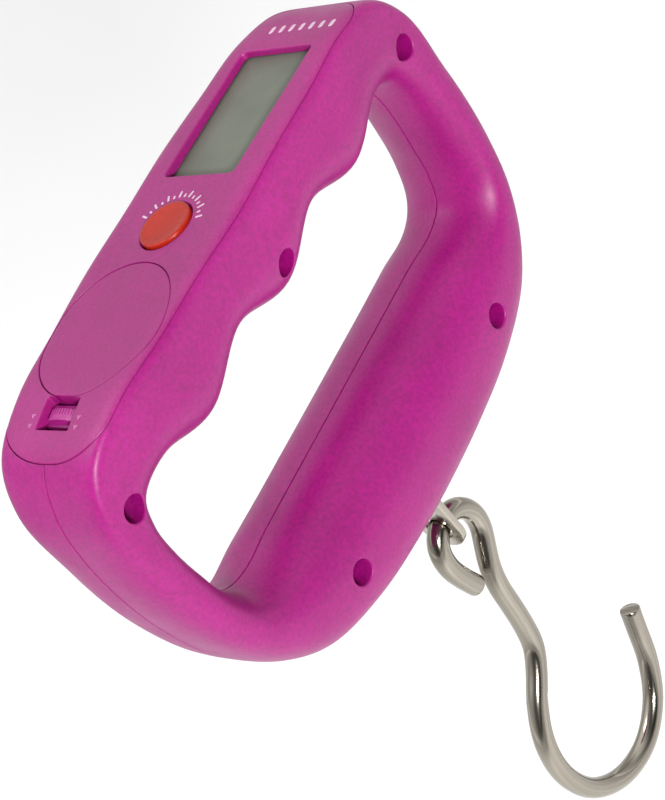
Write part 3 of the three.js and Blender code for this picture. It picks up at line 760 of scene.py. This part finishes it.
def hook_wire(count=300, sides=40):
    """The bent wire, with its two cut ends chamfered."""
    path = hook_path(count)
    for _ in range(HOOK_SMOOTHING):
        path[1:-1] = (path[:-2] + 2 * path[1:-1] + path[2:]) / 4
    tangent = np.gradient(path, axis=0)
    tangent /= np.linalg.norm(tangent, axis=1)[:, None]
    chamfer = [(0, WIRE - WIRE_CHAMFER), (WIRE_CHAMFER * 0.3, WIRE - WIRE_CHAMFER * 0.3),
               (WIRE_CHAMFER, WIRE)]
    start = [(path[0] + tangent[0] * offset, tangent[0], radius) for offset, radius in chamfer]
    end = [(path[-1] - tangent[-1] * offset, tangent[-1], radius) for offset, radius in chamfer]
    between = [(point, along, WIRE) for point, along in zip(path[2:-2], tangent[2:-2])]
    turn = np.linspace(0, 2 * np.pi, sides, endpoint=False)
    rings = []
    for (x, z), (along_x, along_z), radius in start + between + end[::-1]:
        out = np.cos(turn) * radius
        rings.append(np.stack([x - along_z * out, np.sin(turn) * radius, z + along_x * out], -1))
    obj = lofted("hook_wire", rings)
    uv_along(obj, count, sides)
    return obj


def case_screw(number, x, z):
    """A pan-head screw with a cross recess."""
    head, high, shank, length = 2.1, 1.6, 1.05, 13
    top = SCREW_SEAT - 1.75
    outline = [(TINY, top), (0.9, top + 0.04), (1.5, top + 0.18), (1.9, top + 0.45),
               (head, top + 0.85), (head, top + high), (shank, top + high),
               (shank, top + length - 1), (0.3, top + length), (TINY, top + length)]
    obj = turned(f"case_screw_{number}", outline, (x, 0, z), "y", 40)
    blade, thin = 1.1, 0.24
    for half_x, half_z in ((blade, thin), (thin, blade)):
        cut(obj, block(x - half_x, x + half_x, top - 1, top + 0.9, z - half_z, z + half_z))
    return obj


def battery_cell():
    """A coin cell: a narrower lid below, and a can with a fine groove near its rim above."""
    r, h = CELL_RADIUS, CELL_HEIGHT
    lid = [(TINY, -h), (r - 1.7, -h), (r - 1.5, -h + 0.08), (r - 1.3, -h + 0.25), (r - 0.5, -h + 0.27)]
    can = [(r - 0.15, -h + 0.4), (r, -h + 0.7), (r, -0.4), (r - 0.12, -0.12), (r - 0.4, 0)]
    groove = [(r - 1.1, 0), (r - 1.25, -0.05), (r - 1.4, 0), (TINY, 0)]
    return turned("battery_cell", lid + can + groove, (DOOR_X, 0, CELL_TOP), "z", 96)


lug = lug_plate()
hook = hook_wire()
screws = [case_screw(i + 1, x, z) for i, (x, z) in enumerate(SHELL_SCREWS)]
cell = battery_cell()

for helper in (panel_room, inner_skin, reference):
    bpy.data.objects.remove(helper)

# ---------------------------------------------------------------- shading normals

SHARP_FROM = math.radians(40)   # edges that turn by more stay sharp
ON_SKIN = 0.02                  # how near the skin a vertex has to be to take its normal


def smooth(obj):
    obj.data.shade_smooth()
    obj.data.set_sharp_from_angle(angle=SHARP_FROM)


def normal_on_skin(point):
    """The skin's own normal beside a point, blended over the triangle, or None away from it."""
    nearest, _, face, distance = skin_tree.find_nearest(point)
    if distance > ON_SKIN * MM:
        return None
    corners = list(triangles[face])
    system = np.vstack([skin_points[corners].T / MM, [1, 1, 1]])
    weights = np.linalg.lstsq(system, np.append(np.array(nearest) / MM, 1), rcond=None)[0]
    return Vector(weights @ skin_normals[corners]).normalized()


def follow_skin(obj, down=0.0):
    """Shades the outer faces with the skin's own normals, so that no cut shows beside them."""
    smooth(obj)
    mesh = obj.data
    lift = Vector((0, 0, down * MM))
    found = [normal_on_skin(vertex.co + lift) for vertex in mesh.vertices]
    normals = []
    nothing = Vector((0, 0, 0))
    for polygon in mesh.polygons:
        for vertex in polygon.vertices:
            normal = found[vertex]
            normals.append(normal if normal and polygon.normal.dot(normal) > 0.7 else nothing)
    mesh.normals_split_custom_set(normals)


for obj in (front_shell, rear_shell, panel):
    follow_skin(obj)
follow_skin(door, DOOR_SUNK)
for obj in (latch, button, display, legend, end_mark, latch_marks, lug, hook, cell, *screws):
    smooth(obj)

# ---------------------------------------------------------------- materials


class Surface:
    """A principled material with its constant values on the shader's own sockets."""

    def __init__(self, name, colour, **values):
        self.material = bpy.data.materials.new(name)
        self.material.use_nodes = True
        self.nodes = self.material.node_tree.nodes
        self.links = self.material.node_tree.links
        self.shader = self.nodes["Principled BSDF"]
        self.shader.inputs["Base Color"].default_value = (*colour, 1)
        for key, value in values.items():
            self.shader.inputs[key.replace("_", " ")].default_value = value
        self.place = self.nodes.new("ShaderNodeTexCoord").outputs["Object"]

    def link(self, source, target):
        self.links.new(source, self.shader.inputs[target] if isinstance(target, str) else target)

    def noise(self, size, detail=2.0, place=None, stretch=None):
        """Noise whose features are about `size` millimetres across."""
        node = self.nodes.new("ShaderNodeTexNoise")
        node.inputs["Scale"].default_value = 1 / (size * MM)
        node.inputs["Detail"].default_value = detail
        source = place or self.place
        if stretch:
            mapping = self.nodes.new("ShaderNodeMapping")
            mapping.inputs["Scale"].default_value = stretch
            self.links.new(source, mapping.inputs["Vector"])
            source = mapping.outputs["Vector"]
        self.links.new(source, node.inputs["Vector"])
        return node.outputs["Fac"]

    def ramp(self, source, *stops):
        """Maps a value to colours or greys given as (position, colour)."""
        node = self.nodes.new("ShaderNodeValToRGB")
        elements = node.color_ramp.elements
        for index, (position, colour) in enumerate(stops):
            element = elements[index] if index < 2 else elements.new(position)
            element.position = position
            element.color = (*colour, 1) if isinstance(colour, tuple) else (colour,) * 3 + (1,)
        self.links.new(source, node.inputs["Fac"])
        return node.outputs["Color"]

    def blend(self, first, second, share):
        """Multiplies the second colour output into the first, by a share from 0 to 1."""
        node = self.nodes.new("ShaderNodeMix")
        node.data_type = "RGBA"
        node.blend_type = "MULTIPLY"
        node.inputs["Factor"].default_value = share
        self.links.new(first, node.inputs["A"])
        self.links.new(second, node.inputs["B"])
        return node.outputs["Result"]

    def bump(self, source, height):
        """Relief of `height` millimetres."""
        node = self.nodes.new("ShaderNodeBump")
        node.inputs["Strength"].default_value = 1.0
        node.inputs["Distance"].default_value = height * MM
        self.links.new(source, node.inputs["Height"])
        self.link(node.outputs["Normal"], "Normal")
        return self

    def on(self, *objects):
        for obj in objects:
            obj.data.materials.clear()
            obj.data.materials.append(self.material)
        return self


def shade(colour, factor):
    return tuple(min(1.0, c * factor) for c in colour)


COLOUR_DRIFT = 0.1              # how far a moulding's colour drifts from its mean
METAL_RELIEF = 0.004            # millimetres


def moulded(name, colour, roughness, grain=0.16, grain_height=0.012, **values):
    """Moulded plastic: spark grain, slow drifts of colour, and gloss that varies with handling."""
    made = Surface(name, colour, **values)
    dull, bright = shade(colour, 1 - COLOUR_DRIFT), shade(colour, 1 + COLOUR_DRIFT)
    drift = made.ramp(made.noise(22, 3), (0.3, dull), (0.7, bright))
    speck = made.ramp(made.noise(grain * 3.2, 3), (0.32, 0.68), (0.68, 1.0))
    made.link(made.blend(drift, speck, 0.8), "Base Color")
    wear = made.ramp(made.noise(9, 4), (0.3, roughness - 0.05), (0.7, roughness + 0.06))
    made.link(wear, "Roughness")
    made.bump(made.noise(grain, 1), grain_height)
    return made


def metal(name, colour, roughness, streak=(1, 1, 1), size=0.5):
    """Bare or plated metal, with a fine texture that `streak` can stretch."""
    made = Surface(name, colour, Metallic=1.0)
    fine = made.noise(size, 3, stretch=streak)
    made.link(made.ramp(fine, (0.3, shade(colour, 0.8)), (0.7, shade(colour, 1.15))), "Base Color")
    wear = made.ramp(made.noise(size * 4, 2), (0.3, roughness - 0.05), (0.7, roughness + 0.08))
    made.link(wear, "Roughness")
    made.bump(fine, METAL_RELIEF)
    return made


MAGENTA = (0.30, 0.002, 0.155)
PANEL_MAGENTA = (0.29, 0.004, 0.145)
LATCH_MAGENTA = (0.34, 0.012, 0.19)
# painted glint: the latch's moulded arrows take this lighter pink in place of the light that they catch
PAINTED_GLINT_PINK = (0.40, 0.09, 0.27)
BUTTON_RED = (0.37, 0.012, 0.002)
INK_PINK = (0.62, 0.42, 0.54)
NICKEL = (0.42, 0.38, 0.33)

shell_plastic = moulded(
    "magenta_shell", MAGENTA, 0.42, grain=0.24, grain_height=0.03, Specular_IOR_Level=0.4)
shell_plastic.on(front_shell, rear_shell)
moulded("magenta_panel", PANEL_MAGENTA, 0.46).on(panel, door)
# Painted glint: the raised arrows on the latch are lighter than the latch to stand in for small glints
# of light.
moulded("arrow_painted_glint", PAINTED_GLINT_PINK, 0.4).on(latch_marks)
moulded("magenta_latch", LATCH_MAGENTA, 0.4).on(latch)
button_plastic = moulded(
    "red_button", BUTTON_RED, 0.34, grain_height=0.004, Specular_IOR_Level=0.3)
button_plastic.on(button)
moulded("ink", INK_PINK, 0.5, grain_height=0.006).on(legend, end_mark)

glass = Surface("display_glass", (0.15, 0.16, 0.13), Roughness=0.35, Specular_IOR_Level=0.25)
tint = glass.ramp(glass.noise(9, 2), (0.3, (0.105, 0.115, 0.09)), (0.7, (0.13, 0.14, 0.112)))
glass.link(tint, "Base Color")
glass.on(display, nodes["lcd_rear_glass"])

nickel = Surface("drawn_nickel", NICKEL, Metallic=1.0)
along = nickel.nodes.new("ShaderNodeUVMap")
along.uv_map = "along"
streaks = nickel.noise(1000, 3, along.outputs["UV"], (9, 3, 1))
pits = nickel.noise(0.35, 2)
tone = nickel.ramp(streaks, (0.35, (0.25, 0.227, 0.19)), (0.65, (0.36, 0.33, 0.28)))
nickel.link(nickel.blend(tone, nickel.ramp(pits, (0.3, 0.9), (0.6, 1.0)), 0.6), "Base Color")
nickel.link(nickel.ramp(streaks, (0.3, 0.12), (0.7, 0.2)), "Roughness")
nickel.bump(pits, METAL_RELIEF)
nickel.on(hook)

STEEL_NODES = ("board_screw", "load_cell_screw", "contact", "lug_pin")
metal("nickel_plate", NICKEL, 0.22, streak=(1, 1, 8)).on(lug)
steel = metal("zinc_steel", (0.55, 0.55, 0.54), 0.3)
steel.on(cell, *screws, *[nodes[name] for name in nodes if name.startswith(STEEL_NODES)])
metal("milled_alloy", (0.6, 0.61, 0.62), 0.38, streak=(1, 8, 8), size=0.8).on(nodes["load_cell"])
moulded("frame_white", (0.78, 0.77, 0.72), 0.6).on(nodes["lcd_frame"])
moulded("black_moulding", (0.014, 0.014, 0.014), 0.42).on(
    nodes["controller_chip"], nodes["tact_switch"], nodes["tact_plunger"])
moulded("black_sheath", (0.02, 0.02, 0.022), 0.5, grain=0.6).on(nodes["sensor_cable"])

board = Surface("green_board", (0.015, 0.12, 0.035), Roughness=0.42, Coat_Weight=0.3)
weave = board.noise(0.5, 1, stretch=(1, 6, 1))
board.link(board.ramp(weave, (0.4, (0.012, 0.1, 0.03)), (0.6, (0.02, 0.15, 0.045))), "Base Color")
board.bump(weave, 0.01).on(nodes["circuit_board"])

film = Surface("amber_film", (0.48, 0.18, 0.03), Roughness=0.3)
foil = film.noise(0.4, 1, stretch=(8, 1, 1))
film.link(film.ramp(foil, (0.45, (0.42, 0.14, 0.02)), (0.55, (0.55, 0.28, 0.1))), "Base Color")
film.on(nodes["strain_gauge_top"], nodes["strain_gauge_bottom"])

rubber = Surface("zebra_elastomer", (0.62, 0.3, 0.42), Roughness=0.7)
stripes = rubber.nodes.new("ShaderNodeTexWave")
stripes.inputs["Scale"].default_value = 900
rubber.links.new(rubber.place, stripes.inputs["Vector"])
layers = rubber.ramp(stripes.outputs["Fac"], (0.4, (0.7, 0.4, 0.5)), (0.6, (0.05, 0.05, 0.05)))
rubber.link(layers, "Base Color")
rubber.on(nodes["zebra_strip"])

# ---------------------------------------------------------------- riding on the frame


def place(obj, body, slot, *replaced):
    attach(obj, body)
    if replaced:
        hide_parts(*replaced)


place(front_shell, "handle", "shell_plastic", "front_shell")
place(rear_shell, "handle", "shell_plastic", "rear_shell")
place(panel, "handle", "panel_plastic", "control_panel")
place(legend, "handle", "panel_plastic")
place(end_mark, "handle", "panel_plastic")
place(latch_marks, "handle", "panel_plastic")
place(display, "handle", "lcd_glass", "lcd_front_glass")
place(lug, "handle", "nickel_plate", "hook_lug")
place(cell, "handle", "steel", "coin_cell")
place(door, "door", "panel_plastic", "battery_door")
place(latch, "latch", "panel_plastic", "battery_door_latch")
place(button, "button", "button_plastic", "power_button")
place(hook, "hanging_hook", "nickel_plate", "hook")
for number, obj in enumerate(screws, 1):
    place(obj, "handle", "steel", f"shell_screw_{number}")

# ---------------------------------------------------------------- camera, light and floor

CAMERA_AT = (-192.03, -297.91, 208.59)
CAMERA_TURN = 32.53             # degrees from +Y towards +X
CAMERA_DOWN = 35.16             # degrees
CAMERA_ROLL = -40.97            # degrees
CAMERA_LENS = 108.0
CAMERA_SENSOR = 36

turn, down, roll = (math.radians(a) for a in (CAMERA_TURN, CAMERA_DOWN, CAMERA_ROLL))
forward = Vector((math.sin(turn) * math.cos(down), math.cos(turn) * math.cos(down), -math.sin(down)))
level = forward.cross(Vector((0, 0, 1))).normalized()
upright = level.cross(forward)
rightwards = level * math.cos(roll) + upright * math.sin(roll)
upwards = rightwards.cross(forward)

camera = bpy.data.objects.new("camera", bpy.data.cameras.new("camera"))
bpy.context.scene.collection.objects.link(camera)
camera.data.lens = CAMERA_LENS
camera.data.sensor_width = CAMERA_SENSOR
camera.data.clip_start, camera.data.clip_end = 0.01, 20
camera.matrix_world = Matrix.Translation(Vector(CAMERA_AT) * MM) @ Matrix(
    [rightwards, upwards, -forward]).transposed().to_4x4()
bpy.context.scene.camera = camera
bpy.context.scene.view_settings.view_transform = "Standard"

FLOOR_Z = -0.6                  # metres, as the next value is
FLOOR_HALF = 12.0
corners = [(x * FLOOR_HALF, y * FLOOR_HALF, FLOOR_Z) for x, y in ((-1, -1), (1, -1), (1, 1), (-1, 1))]
floor_mesh = bpy.data.meshes.new("floor")
floor_mesh.from_pydata(corners, [], [(0, 1, 2, 3)])
floor = bpy.data.objects.new("floor", floor_mesh)
bpy.context.scene.collection.objects.link(floor)
Surface("pale_floor", (0.9, 0.9, 0.9), Roughness=0.9).on(floor)

# The surroundings are a light tent: bright behind the object and dark on the side that it is seen
# from, and white at the horizon and overhead with a dimmer band between them.
TENT_DARK_SIDE = (-0.50, -0.78, 0.37)
TENT_BRIGHT, TENT_DIM = 1.65, 0.1
TENT_BAND = ((0.12, 0.45), (0.4, 0.42), (0.75, 0.9))    # sine of the height, and the grey there

world = bpy.data.worlds.new("tent")
world.use_nodes = True
sky = world.node_tree
direction = sky.nodes.new("ShaderNodeTexCoord").outputs["Generated"]
facing = sky.nodes.new("ShaderNodeVectorMath")
facing.operation = "DOT_PRODUCT"
facing.inputs[1].default_value = TENT_DARK_SIDE
shades = sky.nodes.new("ShaderNodeMapRange")
shades.interpolation_type = "SMOOTHSTEP"
shades.inputs["From Min"].default_value = 0.1
shades.inputs["From Max"].default_value = 0.95
shades.inputs["To Min"].default_value = TENT_BRIGHT
shades.inputs["To Max"].default_value = TENT_DIM
rise = sky.nodes.new("ShaderNodeSeparateXYZ")
band = sky.nodes.new("ShaderNodeValToRGB")
band.color_ramp.interpolation = "EASE"
band.color_ramp.elements[0].color = (1, 1, 1, 1)
for position, grey in TENT_BAND:
    element = band.color_ramp.elements.new(position)
    element.color = (grey, grey, grey, 1)
sky.links.new(direction, rise.inputs["Vector"])
sky.links.new(rise.outputs["Z"], band.inputs["Fac"])
sky.links.new(band.outputs["Color"], sky.nodes["Background"].inputs["Color"])
sky.links.new(direction, facing.inputs[0])
sky.links.new(facing.outputs["Value"], shades.inputs["Value"])
sky.links.new(shades.outputs["Result"], sky.nodes["Background"].inputs["Strength"])
bpy.context.scene.world = world


def lamp(name, at, towards, size, power):
    """A square soft box at one point that faces another, in metres and watts."""
    data = bpy.data.lights.new(name, "AREA")
    data.energy = power
    data.size = size
    obj = bpy.data.objects.new(name, data)
    bpy.context.scene.collection.objects.link(obj)
    obj.location = at
    obj.rotation_euler = (Vector(towards) - Vector(at)).to_track_quat("-Z", "Y").to_euler()


CENTRE = (0, 0, -0.04)
lamp("key", (-0.76, -1.09, 0.51), CENTRE, 0.2, 28)
lamp("top", (-0.25, 0.45, 1.25), CENTRE, 0.5, 4.5)
